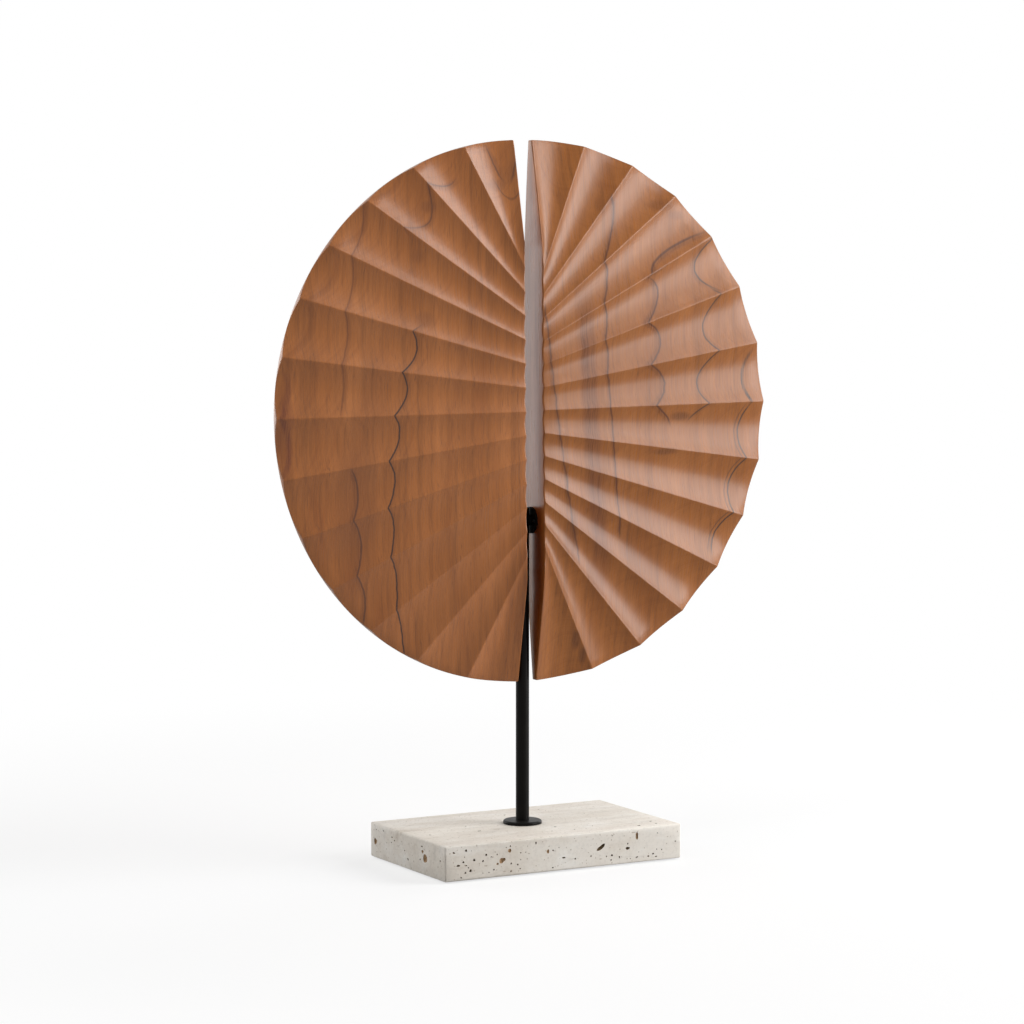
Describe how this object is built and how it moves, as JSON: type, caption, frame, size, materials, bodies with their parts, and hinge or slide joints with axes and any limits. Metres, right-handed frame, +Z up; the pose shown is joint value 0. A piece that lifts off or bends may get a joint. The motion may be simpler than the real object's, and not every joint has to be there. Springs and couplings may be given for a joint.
{
  "type": "pleated wood disc sculpture on a stone base",
  "caption": "Free-standing decorative disc of two fluted wood half discs, carved like an open folding fan, held on a slim black post over a travertine slab.",
  "frame": {"origin": "the middle of the slab, on the surface that the sculpture stands on; the post's axis lies 2.6 mm to its left", "axes": "+Z up along the post, -Y is the fluted front, +X towards the right panel as seen from the front"},
  "size_m": [0.4138, 0.12, 0.5374],
  "materials": {
    "wood_left": "satin oiled",
    "wood_right": "satin oiled",
    "black_steel": "matte",
    "bright_steel": "zinc plated",
    "brass": "machined",
    "travertine": "honed, unfilled",
    "felt": "pressed felt"
  },
  "bodies": {
    "root": {"left_panel": "wood_left", "right_panel": "wood_right", "post": "black_steel", "spacers": "black_steel", "mount_plates": "black_steel", "cross_stud": "bright_steel", "panel_inserts": "brass", "locating_pins": "bright_steel", "post_flange": "black_steel", "stone_slab": "travertine", "flat_washer": "bright_steel", "spring_washer": "bright_steel", "hex_nut": "bright_steel", "felt_pads": "felt"}
  },
  "joints": []
}
